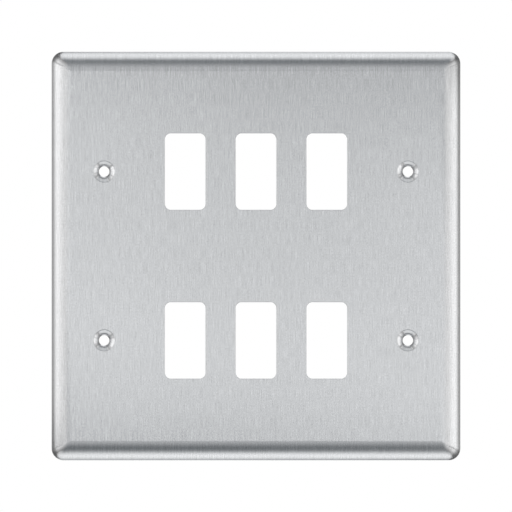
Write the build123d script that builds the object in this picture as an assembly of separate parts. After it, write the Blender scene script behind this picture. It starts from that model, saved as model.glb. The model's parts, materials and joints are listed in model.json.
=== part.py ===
from build123d import *
from math import cos, isclose, radians, sin, tan
import os

# Front plate for a grid of six switch modules, pressed from one steel sheet.
# The plate stands upright: its face looks towards -Y, +Z is up, and its rim lies on the
# wall, the plane y = 0. The origin is the middle of the plate on that plane. Millimetres.

# Outline and section of the pressing. The inside radii are those of the punch, and the
# skirt is the straight strip that is left between the rolled edge and the wall.
plate_side = 146.0
sheet_thickness = 1.0
roll_inside_radius = 6.0
skirt_height = 0.5
corner_inside_radius = 3.3

# Apertures for the switch modules, in rows and columns
aperture_width = 14.5
aperture_height = 27.3
aperture_corner_radius = 2.1
aperture_edge_break = 0.15
aperture_columns = 3
aperture_rows = 2
column_pitch = 25.3
row_pitch = 60.3

# Fixing screw holes, two beside each row of apertures, each plunged into a round dimple. Its
# front lip is coined sharper than the sheet would bend, and its slope and neck keep the
# sheet's thickness.
screw_hole_diameter = 3.7
screw_column_spacing = 108.5
dimple_lip_radius = 0.4
dimple_slope_length = 1.7
dimple_slope_angle = 41.0
dimple_mouth_inside_radius = 0.2
dimple_throat_inside_radius = 0.6
dimple_neck_length = 0.75

# Sizes and places that follow from these
roll_radius = roll_inside_radius + sheet_thickness
corner_radius = corner_inside_radius + sheet_thickness
plate_depth = roll_radius + skirt_height
face_y = -plate_depth
screw_hole_radius = screw_hole_diameter / 2
throat_radius = dimple_throat_inside_radius + sheet_thickness
dimple_front_radius = (
    screw_hole_radius
    + throat_radius * (1 - sin(radians(dimple_slope_angle)))
    + dimple_slope_length * cos(radians(dimple_slope_angle))
    + dimple_lip_radius * sin(radians(dimple_slope_angle))
)
lip_setback = (sheet_thickness + dimple_mouth_inside_radius - dimple_lip_radius) * tan(
    radians(dimple_slope_angle / 2)
)
dimple_radius = dimple_front_radius + lip_setback


def rolled_block(side, depth, edge_radius, upright_radius):
    """A square block on the wall plane, its front edges rolled over and its corners rounded."""
    block = Box(side, depth, side, align=(Align.CENTER, Align.MAX, Align.CENTER))
    block = fillet(block.faces().sort_by(Axis.Y)[0].edges(), edge_radius)
    corner_edges = [
        edge
        for edge in block.edges()
        if isclose(abs(edge.center().X), abs(edge.center().Z), rel_tol=1e-6)
    ]
    return fillet(corner_edges, upright_radius)


def pressed_pan():
    """The blank after drawing: an open pan of one sheet thickness all over."""
    outside = rolled_block(plate_side, plate_depth, roll_radius, corner_radius)
    inside = rolled_block(
        plate_side - 2 * sheet_thickness,
        plate_depth - sheet_thickness,
        roll_inside_radius,
        corner_inside_radius,
    )
    return outside - inside


def punch_apertures(plate):
    """Cut the module apertures, and break their sharp front edges."""
    places = GridLocations(column_pitch, row_pitch, aperture_columns, aperture_rows)
    outline = RectangleRounded(aperture_width, aperture_height, aperture_corner_radius)
    outlines = Sketch() + places * outline
    plate = plate - extrude(Plane.XZ * outlines, plate_depth + sheet_thickness)
    face = plate.faces().sort_by(Axis.Y)[0]
    front_edges = [edge for wire in face.inner_wires() for edge in wire.edges()]
    return chamfer(front_edges, aperture_edge_break)


def dimple_ring():
    """The sheet round one screw hole, drawn down from the face into a funnel."""

    def funnel_line(start, mouth, slope_length, throat):
        lip = JernArc(start, (-1, 0), mouth, -dimple_slope_angle)
        slope = Line(lip @ 1, lip @ 1 + slope_length * (lip % 1))
        bend = JernArc(slope @ 1, slope % 1, throat, dimple_slope_angle - 90)
        neck = Line(bend @ 1, bend @ 1 + dimple_neck_length * (bend % 1))
        return [lip, slope, bend, neck]

    front = funnel_line(
        (dimple_front_radius, face_y),
        dimple_lip_radius,
        dimple_slope_length,
        throat_radius,
    )
    back = funnel_line(
        (dimple_radius, face_y + sheet_thickness),
        dimple_mouth_inside_radius,
        dimple_slope_length - lip_setback,
        dimple_throat_inside_radius,
    )
    flat = Line((dimple_radius, face_y), front[0] @ 0)
    ends = [Line(flat @ 0, back[0] @ 0), Line(front[-1] @ 1, back[-1] @ 1)]
    return revolve(make_face([flat] + front + back + ends), Axis.Y)


def press_screw_dimples(plate):
    """Replace the flat sheet round each screw hole with its dimple."""
    blank = Cylinder(dimple_radius, plate_depth, rotation=(90, 0, 0))
    blank = Pos(0, face_y / 2, 0) * blank
    ring = dimple_ring()
    for x in (-screw_column_spacing / 2, screw_column_spacing / 2):
        for z in (-row_pitch / 2, row_pitch / 2):
            place = Pos(x, 0, z)
            plate = plate - place * blank + place * ring
    return plate


os.makedirs("parts", exist_ok=True)
front_plate = press_screw_dimples(punch_apertures(pressed_pan()))
export_step(front_plate, "parts/front_plate.step")
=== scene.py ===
import json
import math
from collections import namedtuple

import bpy
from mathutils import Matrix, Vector
from mathutils.geometry import delaunay_2d_cdt


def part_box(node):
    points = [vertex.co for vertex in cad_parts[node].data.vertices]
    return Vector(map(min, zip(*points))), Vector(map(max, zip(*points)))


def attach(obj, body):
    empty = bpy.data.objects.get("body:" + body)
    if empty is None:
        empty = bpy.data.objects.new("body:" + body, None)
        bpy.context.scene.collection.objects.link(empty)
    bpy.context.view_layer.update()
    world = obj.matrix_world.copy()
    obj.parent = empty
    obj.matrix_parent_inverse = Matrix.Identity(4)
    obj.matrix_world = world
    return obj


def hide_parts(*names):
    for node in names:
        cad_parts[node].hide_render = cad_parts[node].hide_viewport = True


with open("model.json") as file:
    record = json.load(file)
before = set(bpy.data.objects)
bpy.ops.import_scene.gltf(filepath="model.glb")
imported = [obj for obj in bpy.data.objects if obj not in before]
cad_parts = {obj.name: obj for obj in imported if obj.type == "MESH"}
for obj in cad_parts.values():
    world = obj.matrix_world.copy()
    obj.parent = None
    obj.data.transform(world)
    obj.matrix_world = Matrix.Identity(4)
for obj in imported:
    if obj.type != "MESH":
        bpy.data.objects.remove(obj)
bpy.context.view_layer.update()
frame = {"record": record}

# Everything is in metres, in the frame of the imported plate: its face looks towards -Y.
MM = 0.001
QUARTER_TURN = math.pi / 2
FRONT = Vector((0, -1, 0))
BACK = Vector((0, 1, 0))
record = frame["record"]
plate_low, plate_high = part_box("front_plate")
face_y = plate_low.y
half_side = plate_high.x

# The pressed sheet. The radii are those of its outer skin.
sheet = 1.0 * MM
roll_radius = 7.0 * MM
corner_radius = 4.3 * MM
face_reach = half_side - roll_radius
corner_reach = roll_radius - corner_radius
skirt_height = plate_high.y - face_y - roll_radius

# The punched apertures, centred where the record puts their openings
aperture_half_width = 7.25 * MM
aperture_half_height = 13.65 * MM
aperture_corner = 2.1 * MM
aperture_edge = 0.18 * MM
aperture_boxes = [
    [Vector(corner) for corner in opening["box_m"]]
    for opening in record["physics"]["openings"]
    if opening["name"].endswith("aperture")
]
aperture_centres = [(low + high) / 2 for low, high in aperture_boxes]

# The screw holes, where the record puts them, and the dimples that they are plunged into
hole_mount = next(mount for mount in record["mounts"] if mount["name"] == "screw_holes")
hole_radius = hole_mount["dims"]["hole_r_mm"] * MM
hole_x = hole_mount["dims"]["spacing_x_mm"] * MM / 2
hole_z = hole_mount["dims"]["spacing_y_mm"] * MM / 2
hole_centres = [(x, z) for x in (-hole_x, hole_x) for z in (-hole_z, hole_z)]
slope_angle = math.radians(41)
slope_length = 1.7 * MM
lip_radius = 0.4 * MM
inner_mouth_radius = 0.2 * MM
inner_throat_radius = 0.6 * MM
throat_radius = inner_throat_radius + sheet
neck_length = 0.75 * MM
lip_setback = (sheet + inner_mouth_radius - lip_radius) * math.tan(slope_angle / 2)
front_radius = (
    hole_radius
    + throat_radius * (1 - math.sin(slope_angle))
    + slope_length * math.cos(slope_angle)
    + lip_radius * math.sin(slope_angle)
)
back_radius = front_radius + lip_setback

# How finely the skin and the studio's cards are divided
ROLL_STEPS = 28
CORNER_STEPS = 14
EDGE_STEPS = 5
OUTLINE_STEPS = 10
BEND_STEPS = 10
DIMPLE_STEPS = 72
CARD_STEPS = 48

# Finishes of the skin, in the order of the mesh's material slots
BRUSHED, MILL, CUT = 0, 1, 2

# A corner of a face: its position, its normal, and its place (x, z) on the flat sheet, before
# the sheet was pressed
Corner = namedtuple("Corner", "position normal place")


class Skin:
    """Faces that share their points where they meet, with an exact normal at each corner."""

    # How far apart two positions may lie and still be one point
    WELD = 0.0005 * MM

    def __init__(self):
        self.points = []
        self.point_at = {}
        self.faces = []
        self.normals = []
        self.places = []
        self.finishes = []

    def point(self, position):
        """The number of the point at a position."""
        key = tuple(round(value / self.WELD) for value in position)
        if key not in self.point_at:
            self.point_at[key] = len(self.points)
            self.points.append(position)
        return self.point_at[key]

    def face(self, corners, finish):
        """Add a face that looks along its normals, unless it has shrunk to a line."""
        numbers = [self.point(corner.position) for corner in corners]
        kept = [i for i in range(len(numbers)) if numbers[i] != numbers[i - 1]]
        if len(kept) < 3:
            return
        corners = [corners[i] for i in kept]
        numbers = [numbers[i] for i in kept]
        first, second, third = (corner.position for corner in corners[:3])
        across = (second - first).cross(third - first)
        if across.dot(sum((corner.normal for corner in corners), Vector())) < 0:
            corners.reverse()
            numbers.reverse()
        self.faces.append(numbers)
        self.normals.extend(corner.normal for corner in corners)
        self.places.extend((corner.place, finish == MILL) for corner in corners)
        self.finishes.append(finish)

    def strip(self, first, second, finish):
        """Add the faces between two closed rows of corners."""
        for i in range(len(first)):
            j = (i + 1) % len(first)
            self.face([first[i], first[j], second[j], second[i]], finish)

    def rows(self, lines, finish):
        """Add the faces between each closed row of corners and the next."""
        for first, second in zip(lines, lines[1:]):
            self.strip(first, second, finish)


def turned(vector, turns):
    """A vector turned about Y by a number of quarter turns, from +X towards +Z."""
    x, y, z = vector
    for _ in range(turns):
        x, z = -z, x
    return Vector((x, y, z))


def turned_corner(position, normal, place, turns):
    """A corner, turned with its place on the flat sheet."""
    flat = turned((place[0], 0, place[1]), turns)
    return Corner(turned(position, turns), turned(normal, turns), (flat.x, flat.z))


def edge_line(depth, angle, drop, turns, side):
    """One row of the rolled edge along the +X side and round the corner after it.

    depth is how far below the outer skin it lies, angle how far the roll has turned, and drop
    how far down the straight skirt. side is 1 for the outer skin and -1 for the inner one.
    turns then carries the row round to another side of the plate.
    """
    radius = roll_radius - depth
    round_radius = corner_radius - depth
    lateral = math.sin(angle)
    centre_y = face_y + roll_radius
    reach = face_reach + corner_reach * lateral
    y = centre_y - radius * math.cos(angle) + drop
    flat_x = face_reach + radius * angle + drop
    start = Vector((lateral, -math.cos(angle), 0))
    line = [
        turned_corner((face_reach + radius * lateral, y, z), start * side, (flat_x, z), turns)
        for z in (-reach, reach)
    ]
    end = Vector((0, -math.cos(angle), lateral))
    centre = Vector((reach, centre_y - corner_reach * math.cos(angle) + drop, reach))
    flat_radius = flat_x - reach
    for step in range(1, CORNER_STEPS + 1):
        part = step / CORNER_STEPS
        bent = start.slerp(end, part) if angle > 0 else FRONT
        around = part * QUARTER_TURN
        place = (reach + flat_radius * math.cos(around), reach + flat_radius * math.sin(around))
        line.append(turned_corner(centre + bent * round_radius, bent * side, place, turns))
    return line


def edge_ring(depth, angle, drop, side):
    """A closed row of the rolled edge, all round the plate."""
    ring = []
    for turns in range(4):
        ring.extend(edge_line(depth, angle, drop, turns, side)[:-1])
    return ring


def add_rolled_edge(skin):
    """The rolled edges and the skirt, outside and inside, and the rim that stands on the wall."""
    angles = [QUARTER_TURN * i / ROLL_STEPS for i in range(ROLL_STEPS + 1)]
    for depth, side, finish in ((0, 1, BRUSHED), (sheet, -1, MILL)):
        rings = [edge_ring(depth, angle, 0, side) for angle in angles]
        rings.append(edge_ring(depth, angles[-1], skirt_height, side))
        skin.rows(rings, finish)
    outer = edge_ring(0, angles[-1], skirt_height, 1)
    inner = edge_ring(sheet, angles[-1], skirt_height, 1)
    beyond = edge_ring(0, angles[-1], skirt_height + sheet, 1)
    rim_outer = [Corner(corner.position, BACK, corner.place) for corner in outer]
    rim_inner = [Corner(near.position, BACK, far.place) for near, far in zip(inner, beyond)]
    skin.strip(rim_outer, rim_inner, CUT)


def aperture_outline(centre, grown):
    """The places and inward directions round an aperture whose outline is grown by a distance."""
    radius = aperture_corner + grown
    places = []
    for quarter, (sx, sz) in enumerate(((1, 1), (-1, 1), (-1, -1), (1, -1))):
        middle_x = centre.x + sx * (aperture_half_width - aperture_corner)
        middle_z = centre.z + sz * (aperture_half_height - aperture_corner)
        for step in range(OUTLINE_STEPS + 1):
            angle = QUARTER_TURN * (quarter + step / OUTLINE_STEPS)
            x, z = math.cos(angle), math.sin(angle)
            places.append(((middle_x + radius * x, middle_z + radius * z), Vector((-x, 0, -z))))
    return places


def add_aperture(skin, centre):
    """The rolled front edge and the walls of one aperture. Returns its outlines on both faces."""
    rings = []
    for step in range(EDGE_STEPS + 1):
        angle = QUARTER_TURN * step / EDGE_STEPS
        lifted = aperture_outline(centre, aperture_edge * (1 - math.sin(angle)))
        flat = aperture_outline(centre, aperture_edge * (1 - angle))
        y = face_y + aperture_edge * (1 - math.cos(angle))
        rings.append([
            Corner(Vector((x, y, z)), FRONT * math.cos(angle) + inward * math.sin(angle), place)
            for ((x, z), inward), (place, _) in zip(lifted, flat)
        ])
    skin.rows(rings, BRUSHED)
    low_y = face_y + sheet
    wall = aperture_outline(centre, 0)
    flat = aperture_outline(centre, aperture_edge * (1 - QUARTER_TURN) - (sheet - aperture_edge))
    bottom = [
        Corner(Vector((x, low_y, z)), inward, place)
        for ((x, z), inward), (place, _) in zip(wall, flat)
    ]
    skin.strip(rings[-1], bottom, CUT)
    return [corner.position for corner in rings[0]], [corner.position for corner in bottom]


def funnel(start_radius, start_y, mouth, slope, throat):
    """The section of a dimple: radius, y, angle from the face and length along it, row by row.

    mouth and throat are the radii of its two bends, and slope is the length between them.
    """
    radius, y, length = start_radius, start_y, 0
    section = [(radius, y, 0.0, 0.0)]
    for bend, first, last, run in (
        (mouth, 0, slope_angle, slope), (throat, slope_angle, QUARTER_TURN, neck_length),
    ):
        from_radius, from_y = radius, y
        for step in range(1, BEND_STEPS + 1):
            angle = first + (last - first) * step / BEND_STEPS
            radius = from_radius - bend * (math.sin(angle) - math.sin(first))
            y = from_y + bend * (math.cos(first) - math.cos(angle))
            section.append((radius, y, angle, length + bend * (angle - first)))
        length += bend * (last - first)
        radius -= run * math.cos(last)
        y += run * math.sin(last)
        length += run
        section.append((radius, y, last, length))
    return section


def dimple_rings(x, z, section, side):
    """One skin of a dimple, row by row. side is 1 for the outer skin and -1 for the inner one.

    On the flat sheet the rows keep clear of the middle, so that the grain doesn't meet there.
    """
    flat_share = 0.8
    start_radius, section_length = section[0][0], section[-1][3]
    flat_scale = flat_share * start_radius / section_length
    rings = []
    for radius, y, angle, length in section:
        flat_radius = start_radius - length * flat_scale
        ring = []
        for step in range(DIMPLE_STEPS):
            turn = math.tau * step / DIMPLE_STEPS
            out = Vector((math.cos(turn), 0, math.sin(turn)))
            normal = (FRONT * math.cos(angle) - out * math.sin(angle)) * side
            position = Vector((x, y, z)) + out * radius
            place = (x + out.x * flat_radius, z + out.z * flat_radius)
            ring.append(Corner(position, normal, place))
        rings.append(ring)
    return rings


def add_dimple(skin, x, z):
    """One plunged screw hole. Returns its outlines on both faces."""
    cut_share = 0.5
    front = dimple_rings(
        x, z, funnel(front_radius, face_y, lip_radius, slope_length, throat_radius), 1
    )
    back = dimple_rings(
        x, z, funnel(
            back_radius, face_y + sheet,
            inner_mouth_radius, slope_length - lip_setback, inner_throat_radius,
        ), -1,
    )
    skin.rows(front, BRUSHED)
    skin.rows(back, MILL)
    cut_outer = [Corner(corner.position, BACK, corner.place) for corner in front[-1]]
    cut_inner = []
    for corner, near in zip(back[-1], front[-1]):
        place = (x + (near.place[0] - x) * cut_share, z + (near.place[1] - z) * cut_share)
        cut_inner.append(Corner(corner.position, BACK, place))
    skin.strip(cut_outer, cut_inner, CUT)
    return [corner.position for corner in front[0]], [corner.position for corner in back[0]]


def in_hole(point, dimple_radius):
    """Whether a point of the flat lies in an aperture or a dimple."""
    for centre in aperture_centres:
        across = abs(point.x - centre.x) - aperture_half_width + aperture_corner
        along = abs(point.z - centre.z) - aperture_half_height + aperture_corner
        if math.hypot(max(across, 0), max(along, 0)) < aperture_corner:
            return True
    return any(math.hypot(point.x - x, point.z - z) < dimple_radius for x, z in hole_centres)


def add_flat(skin, loops, normal, finish, dimple_radius):
    """The flat of the face or of its back, between its square border and the given outlines."""
    triangles_inside, tolerance = 1, 1e-9
    square = [Vector((x, loops[0][0].y, z)) for x, z in (
        (face_reach, face_reach), (-face_reach, face_reach),
        (-face_reach, -face_reach), (face_reach, -face_reach),
    )]
    positions, edges = [], []
    for loop in [square, *loops]:
        first = len(positions)
        positions.extend(loop)
        edges.extend((first + i, first + (i + 1) % len(loop)) for i in range(len(loop)))
    border = list(range(len(square)))
    _, _, triangles, origins, _, _ = delaunay_2d_cdt(
        [Vector((p.x, p.z)) for p in positions], edges, [border], triangles_inside, tolerance
    )
    for triangle in triangles:
        corners = [positions[origins[i][0]] for i in triangle]
        if not in_hole(sum(corners, Vector()) / 3, dimple_radius):
            skin.face([Corner(p, normal, (p.x, p.z)) for p in corners], finish)


def add_maps(mesh, places):
    """The flat sheet in millimetres, and the same laid out in the unit square for baking."""
    front_share, gap, back_share = 0.72, 0.005, 0.27
    margin = 0.5 * MM
    flat_half = face_reach + roll_radius * QUARTER_TURN + skirt_height + sheet + margin
    sheet_map = mesh.uv_layers.new(name="Sheet")
    bake_map = mesh.uv_layers.new(name="OFBake")
    for loop, ((x, z), back) in enumerate(places):
        sheet_map.data[loop].uv = (x / MM, z / MM)
        share = back_share if back else front_share
        left = front_share + gap if back else 0
        bake_map.data[loop].uv = (
            left + share * (x / flat_half + 1) / 2,
            share * (z / flat_half + 1) / 2,
        )
    bake_map.active_render = True
    mesh.uv_layers.active = bake_map


def add_item(name, data):
    """Add an object to the scene."""
    item = bpy.data.objects.new(name, data)
    bpy.context.scene.collection.objects.link(item)
    return item


def build_plate():
    """The whole pressing as one piece."""
    skin = Skin()
    add_rolled_edge(skin)
    outlines = [add_aperture(skin, centre) for centre in aperture_centres]
    outlines.extend(add_dimple(skin, x, z) for x, z in hole_centres)
    fronts, backs = zip(*outlines)
    add_flat(skin, fronts, FRONT, BRUSHED, front_radius)
    add_flat(skin, backs, BACK, MILL, back_radius)

    mesh = bpy.data.meshes.new("pressed_front_plate")
    mesh.from_pydata(skin.points, [], skin.faces)
    mesh.polygons.foreach_set("material_index", skin.finishes)
    mesh.shade_smooth()
    mesh.normals_split_custom_set([normal.normalized() for normal in skin.normals])
    add_maps(mesh, skin.places)
    return add_item("pressed_front_plate", mesh)


class Nodes:
    """Short calls that fill the emptied node tree of a material or the world."""

    # A colour mix node's sockets for its two colours, and for what comes out
    MIX_FIRST, MIX_SECOND, MIX_OUT = 6, 7, 2

    def __init__(self, owner):
        owner.use_nodes = True
        self.tree = owner.node_tree
        self.tree.nodes.clear()

    def add(self, kind, inputs=(), **settings):
        """Add a node. Each input is a value, or the socket of another node."""
        node = self.tree.nodes.new(kind)
        for name, value in settings.items():
            setattr(node, name, value)
        for socket, value in dict(inputs).items():
            if isinstance(value, bpy.types.NodeSocket):
                self.tree.links.new(value, node.inputs[socket])
            else:
                node.inputs[socket].default_value = value
        return node

    def surface(self, shader, output="ShaderNodeOutputMaterial"):
        """Give the surface its shader."""
        self.add(output, {"Surface": shader.outputs[0]})

    def math(self, operation, first, second=0.0):
        """The result of a sum on one or two values."""
        return self.add("ShaderNodeMath", {0: first, 1: second}, operation=operation).outputs[0]

    def eased(self, value, low, high, at_low, at_high):
        """A smooth change from one level to another while a value goes from low to high."""
        return self.add("ShaderNodeMapRange", {
            "Value": value, "From Min": low, "From Max": high,
            "To Min": at_low, "To Max": at_high,
        }, interpolation_type="SMOOTHSTEP").outputs[0]

    def shaded(self, colour, shade):
        """A colour times a shade."""
        return self.add(
            "ShaderNodeMix",
            {"Factor": 1.0, self.MIX_FIRST: (*colour, 1), self.MIX_SECOND: shade},
            data_type="RGBA", blend_type="MULTIPLY",
        ).outputs[self.MIX_OUT]

    def bump(self, height, strength):
        """Shallow relief, at most 0.02 mm deep."""
        return self.add(
            "ShaderNodeBump", {"Strength": strength, "Distance": 0.02 * MM, "Height": height}
        ).outputs[0]

    def sheet_place(self):
        """The place on the flat sheet, in millimetres."""
        return self.add("ShaderNodeUVMap", uv_map="Sheet").outputs[0]

    def stretched_noise(self, place, across, along, detail, offset):
        """Noise whose cells are so many millimetres across and along the grain."""
        scaled = self.add(
            "ShaderNodeMapping",
            {"Vector": place, "Scale": (1 / across, 1 / along, 1), "Location": (offset, offset, 0)},
        )
        noise = self.add(
            "ShaderNodeTexNoise",
            {"Vector": scaled.outputs[0], "Scale": 1.0, "Detail": detail, "Roughness": 0.6},
            noise_dimensions="2D",
        )
        return noise.outputs["Fac"]

    def varied(self, level, *noises):
        """A level that each noise varies, up and down, with the strength given after it."""
        total = 0.0
        for noise, strength in noises:
            swing = self.math("MULTIPLY", self.math("SUBTRACT", noise, 0.5), strength)
            total = self.math("ADD", total, swing)
        return self.math("ADD", total, level)


def brushed_steel():
    """Satin stainless steel, brushed in one direction while it was a flat sheet."""
    material = bpy.data.materials.new("brushed_steel_face")
    nodes = Nodes(material)
    place = nodes.sheet_place()
    hairlines = nodes.stretched_noise(place, across=0.2, along=0.6, detail=3.0, offset=3.7)
    streaks = nodes.stretched_noise(place, across=0.18, along=5.0, detail=3.0, offset=11.3)
    bands = nodes.stretched_noise(place, across=0.6, along=25.0, detail=2.0, offset=23.9)
    clouds = nodes.stretched_noise(place, across=30.0, along=45.0, detail=1.0, offset=31.1)
    # The dimples' colour is lifted, a painted sheen that stands in for their bright reflections,
    # and the punch's smoothing takes something off their roughness.
    smoothing_and_sheen = dimple_smoothing_and_painted_sheen(nodes, place)
    painted_sheen, smoothing = 0.08, 0.10
    shade = nodes.varied(1.0, (hairlines, 0.55), (streaks, 0.55), (bands, 0.12), (clouds, 0.03))
    # Painted sheen: the colour inside the dimples is raised by this share.
    shade = nodes.math("ADD", shade, nodes.math("MULTIPLY", smoothing_and_sheen, painted_sheen))
    rough = nodes.varied(0.21, (streaks, 0.06))
    rough = nodes.math("SUBTRACT", rough, nodes.math("MULTIPLY", smoothing_and_sheen, smoothing))
    tangent = nodes.add("ShaderNodeTangent", direction_type="UV_MAP", uv_map="OFBake").outputs[0]
    nodes.surface(nodes.add("ShaderNodeBsdfPrincipled", {
        "Base Color": nodes.shaded((0.610, 0.612, 0.618), shade),
        "Metallic": 1.0, "Roughness": rough, "Normal": nodes.bump(hairlines, strength=0.16),
        "Anisotropic": 0.9, "Anisotropic Rotation": 0.0, "Tangent": tangent,
    }))
    return material


def dimple_smoothing_and_painted_sheen(nodes, place):
    """A mask, 1 inside the dimples and 0 on the face: the punch's smoothing of the brushed skin,
    and where a painted sheen lifts its colour.
    """
    split = nodes.add("ShaderNodeSeparateXYZ", {0: place})
    across = nodes.math("SUBTRACT", nodes.math("ABSOLUTE", split.outputs[0]), hole_x / MM)
    along = nodes.math("SUBTRACT", nodes.math("ABSOLUTE", split.outputs[1]), hole_z / MM)
    distance = nodes.math("SQRT", nodes.math(
        "ADD", nodes.math("MULTIPLY", across, across), nodes.math("MULTIPLY", along, along)
    ))
    rim, before, after = front_radius / MM, 0.5, 0.1
    return nodes.eased(distance, rim - before, rim + after, 1.0, 0.0)


def mill_steel():
    """The back of the sheet, as the mill left it: duller and even, with faint rolling lines."""
    material = bpy.data.materials.new("mill_steel_back")
    nodes = Nodes(material)
    place = nodes.sheet_place()
    grain = nodes.stretched_noise(place, across=0.35, along=0.6, detail=3.0, offset=5.1)
    lines = nodes.stretched_noise(place, across=0.9, along=30.0, detail=2.0, offset=17.7)
    shade = nodes.varied(1.0, (grain, 0.08), (lines, 0.06))
    least_rough, rougher = 0.38, 0.1
    rough = nodes.math("ADD", nodes.math("MULTIPLY", grain, rougher), least_rough)
    nodes.surface(nodes.add("ShaderNodeBsdfPrincipled", {
        "Base Color": nodes.shaded((0.54, 0.55, 0.56), shade),
        "Metallic": 1.0, "Roughness": rough, "Normal": nodes.bump(grain, strength=0.2),
    }))
    return material


def cut_steel():
    """The sheared edges of the sheet, scored straight through its thickness."""
    material = bpy.data.materials.new("sheared_steel_edge")
    nodes = Nodes(material)
    place = nodes.sheet_place()
    score = nodes.stretched_noise(place, across=0.12, along=0.12, detail=2.0, offset=7.9)
    shade = nodes.varied(1.0, (score, 0.3))
    nodes.surface(nodes.add("ShaderNodeBsdfPrincipled", {
        "Base Color": nodes.shaded((0.56, 0.57, 0.58), shade),
        "Metallic": 1.0, "Roughness": 0.35,
    }))
    return material


def only_glossy(item):
    """Hide an item of the studio from everything but reflections."""
    item.visible_camera = False
    item.visible_diffuse = False
    item.visible_shadow = False
    item.visible_transmission = False
    item.visible_volume_scatter = False


def card(
    name, side, stops, reach, half_width, lean,
    upright=False, tint=(0, 0, 0), rim=1.0, flat=1.0, slope=0,
):
    """A curved card that glows, bent round the plate at some reach from it.

    It runs off the camera's axis upwards, or towards +X if it is upright, or the other way if
    side is -1. Each stop is an angle off that axis, in degrees, and the brightness there. The
    brightness is full over the flat share of the card's width, and falls to the rim share of
    it, and a slope adds that share of it at one side and takes it off at the other. The card
    leans about the camera's axis, in degrees, so that the left one hangs higher than the right.
    """
    least_fall = 1e-4
    start, end = stops[0][0], stops[-1][0]
    points = []
    for i in range(CARD_STEPS + 1):
        angle = side * math.radians(start + (end - start) * i / CARD_STEPS)
        bow = reach * math.sin(angle)
        for width in (-half_width, half_width):
            across = (bow, width) if upright else (width, bow)
            points.append((across[0], -reach * math.cos(angle), across[1]))
    mesh = bpy.data.meshes.new(name)
    quads = [(2 * i, 2 * i + 1, 2 * i + 3, 2 * i + 2) for i in range(CARD_STEPS)]
    mesh.from_pydata(points, [], quads)
    layer = mesh.uv_layers.new(name="card")
    for loop in mesh.loops:
        row, end_of_row = divmod(loop.vertex_index, 2)
        layer.data[loop.index].uv = (row / CARD_STEPS, end_of_row * 2 - 1)

    material = bpy.data.materials.new(name)
    nodes = Nodes(material)
    place = nodes.add("ShaderNodeUVMap", uv_map="card").outputs[0]
    split = nodes.add("ShaderNodeSeparateXYZ", {0: place})
    ramp = nodes.add("ShaderNodeValToRGB", {0: split.outputs[0]})
    ramp.color_ramp.interpolation = "B_SPLINE"
    elements = ramp.color_ramp.elements
    middle = 0.5
    while len(elements) < len(stops):
        elements.new(middle)
    brightest = max(level for _, level in stops) + max(tint)
    for element, (angle, level) in zip(elements, stops):
        element.position = (angle - start) / (end - start)
        element.color = (*(max(level + shift, 0) / brightest for shift in tint), 1)
    off_middle = nodes.math("ABSOLUTE", split.outputs[1])
    fall = nodes.eased(off_middle, flat - least_fall, 1.0, brightest, brightest * rim)
    tip = nodes.math("ADD", nodes.math("MULTIPLY", split.outputs[1], slope), 1.0)
    strength = nodes.math("MULTIPLY", fall, tip)
    nodes.surface(nodes.add("ShaderNodeEmission", {"Color": ramp.outputs[0], "Strength": strength}))
    mesh.materials.append(material)

    item = add_item(name, mesh)
    item.rotation_euler = (0, math.radians(lean), 0)
    only_glossy(item)


def build_studio():
    """What the plate mirrors, each card graded along its length.

    A wide card hangs above the plate and one below it. At each side a wide flag stands behind
    a light, a strip and a tail, which follow each other close to the plate's edge.
    """
    cool = (-0.018, 0, 0.014)
    card("upper_card", 1, (
        (0, 0.88), (1.3, 1.05), (2.8, 1.19), (3.7, 1.04), (4.6, 0.63), (8, 0.67), (20, 0.70),
        (32, 0.61), (44, 0.42), (57, 0.28), (68, 0.30), (76, 0.58), (84, 0.93), (93, 1.18),
        (102, 1.28), (116, 1.28), (132, 1.0), (160, 0.7),
    ), reach=0.8, half_width=0.5, lean=8, tint=cool)
    card("lower_card", -1, (
        (0, 0.89), (1.4, 1.07), (3.9, 1.38), (4.7, 0.96), (5.4, 0.62), (9, 0.64), (16, 0.59),
        (30, 0.37), (42, 0.23), (54, 0.26), (64, 0.41), (73, 0.71), (82, 1.06), (93, 1.33),
        (102, 1.38), (116, 1.25), (130, 0.9), (145, 0.6), (160, 0.5),
    ), reach=0.8, half_width=0.5, lean=6, tint=cool)
    for hand, side, dark in (("left", -1, 0.46), ("right", 1, 0.38)):
        card(hand + "_flag", side, (
            (30, 1.02), (45, 1.06), (57, 1.12), (68, 1.3), (79, 1.7), (90, 1.55), (99, 0.85),
            (108, 0.5), (125, 0.22), (165, 0.2),
        ), reach=0.6, half_width=0.7, lean=9, upright=True, rim=0.3, flat=0.05)
        card(hand + "_light", side, (
            (60, 1.12), (68, 1.22), (78, 1.38), (83, 1.50), (89, 1.56), (95, 1.48), (101, 1.2),
            (107, 0.74), (114, dark),
        ), reach=0.2, half_width=0.1, lean=3.8, upright=True, rim=0.4, flat=0.62,
            slope=side * -0.05)
        card(hand + "_strip", side, ((114, dark), (124, dark - 0.04)),
            reach=0.2, half_width=0.095, lean=6, upright=True, rim=0.1, flat=0.6,
            slope=side * -0.12)
        card(hand + "_tail", side, ((124, dark), (132, 0.48), (150, 0.5)),
            reach=0.2, half_width=0.095, lean=4, upright=True, rim=0.5, flat=0.6)


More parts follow.
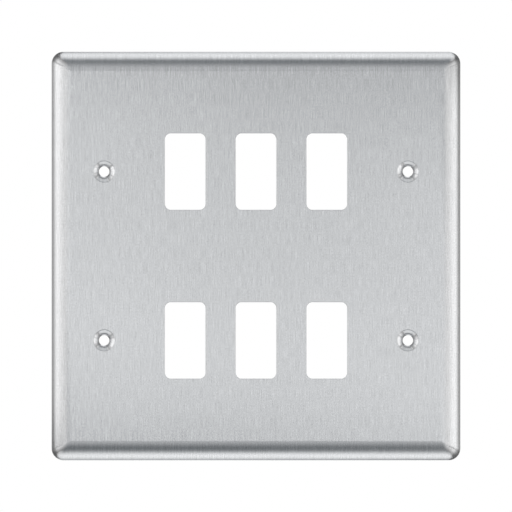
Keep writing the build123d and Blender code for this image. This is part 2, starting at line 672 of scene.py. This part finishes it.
def build_veil():
    """A faint veil before the plate, which only reflections meet and which dims their middle."""
    reach, half_width, half_height, to_right = 0.25, 0.07, 0.13, 0.004
    lower_dimming, upper_dimming, change_height = 0.08, 0.16, 0.05
    full_height = 0.06
    mesh = bpy.data.meshes.new("veil")
    mesh.from_pydata([
        (-half_width, 0, -half_height), (half_width, 0, -half_height),
        (half_width, 0, half_height), (-half_width, 0, half_height),
    ], [], [(0, 1, 2, 3)])
    material = bpy.data.materials.new("veil")
    nodes = Nodes(material)
    place = nodes.add("ShaderNodeTexCoord").outputs["Object"]
    x, _, z = nodes.add("ShaderNodeSeparateXYZ", {0: place}).outputs
    middle = nodes.eased(nodes.math("ABSOLUTE", x), 0.0, half_width, 1.0, 0.0)
    ends = nodes.eased(nodes.math("ABSOLUTE", z), full_height, half_height, 1.0, 0.0)
    depth = nodes.eased(z, -change_height, change_height, lower_dimming, upper_dimming)
    dimmed = nodes.math("MULTIPLY", nodes.math("MULTIPLY", middle, ends), depth)
    left_over = nodes.math("SUBTRACT", 1.0, dimmed)
    nodes.surface(nodes.add("ShaderNodeBsdfTransparent", {"Color": left_over}))
    mesh.materials.append(material)
    item = add_item("veil", mesh)
    item.location = (to_right, -reach, 0)
    only_glossy(item)


def build_floor():
    """A pale paper floor under the plate's lower edge."""
    half_size = 4.0
    pale, mottle = 0.90, 0.02
    mesh = bpy.data.meshes.new("floor")
    mesh.from_pydata([
        (-half_size, -half_size, 0), (half_size, -half_size, 0),
        (half_size, half_size, 0), (-half_size, half_size, 0),
    ], [], [(0, 1, 2, 3)])
    floor = add_item("floor", mesh)
    floor.location = (0, 0, plate_low.z)
    material = bpy.data.materials.new("pale_floor")
    nodes = Nodes(material)
    paper = nodes.add("ShaderNodeTexNoise", {"Scale": 60.0, "Detail": 4.0}).outputs["Fac"]
    shade = nodes.math("ADD", nodes.math("MULTIPLY", paper, mottle), pale)
    nodes.surface(nodes.add("ShaderNodeBsdfDiffuse", {"Color": shade}))
    mesh.materials.append(material)
    floor.visible_glossy = False


def build_world():
    """White to the camera, and in reflections and through glass, and a softer fill otherwise."""
    world = bpy.data.worlds.new("white_studio")
    bpy.context.scene.world = world
    nodes = Nodes(world)
    path = nodes.add("ShaderNodeLightPath")
    seen = nodes.math("MAXIMUM", path.outputs["Is Camera Ray"], path.outputs["Is Glossy Ray"])
    seen = nodes.math("MAXIMUM", seen, path.outputs["Is Transmission Ray"])
    fill = nodes.add("ShaderNodeBackground", {"Color": (1, 1, 1, 1), "Strength": 0.75})
    white = nodes.add("ShaderNodeBackground", {"Color": (1, 1, 1, 1), "Strength": 1.0})
    mix = nodes.add("ShaderNodeMixShader", {0: seen, 1: fill.outputs[0], 2: white.outputs[0]})
    nodes.surface(mix, output="ShaderNodeOutputWorld")


def build_lamp(name, position, size, power):
    """A soft rectangular lamp that looks at the plate, unseen by the camera and in reflections."""
    lamp = bpy.data.lights.new(name, "AREA")
    lamp.shape = "RECTANGLE"
    lamp.size, lamp.size_y = size
    lamp.energy = power
    item = add_item(name, lamp)
    item.location = position
    item.rotation_mode = "QUATERNION"
    item.rotation_quaternion = (-Vector(position)).to_track_quat("-Z", "Y")
    item.visible_camera = False
    item.visible_glossy = False


def build_camera():
    """A long view square to the face, so wide that the plate fills it as in the photograph."""
    view_width, distance = 182.9 * MM, 0.6
    camera = bpy.data.cameras.new("camera")
    camera.type = "ORTHO"
    camera.ortho_scale = view_width
    item = add_item("camera", camera)
    item.location = (0, -distance, 0)
    item.rotation_euler = (QUARTER_TURN, 0, 0)
    bpy.context.scene.camera = item


plate = build_plate()
for make in (brushed_steel, mill_steel, cut_steel):
    plate.data.materials.append(make())
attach(plate, "root")
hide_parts("front_plate")

build_studio()
build_veil()
build_floor()
build_world()
build_lamp("overhead_softbox", position=(0.3, -0.5, 1.2), size=(0.9, 0.9), power=6.0)
build_camera()
bpy.context.scene.view_settings.view_transform = "Standard"
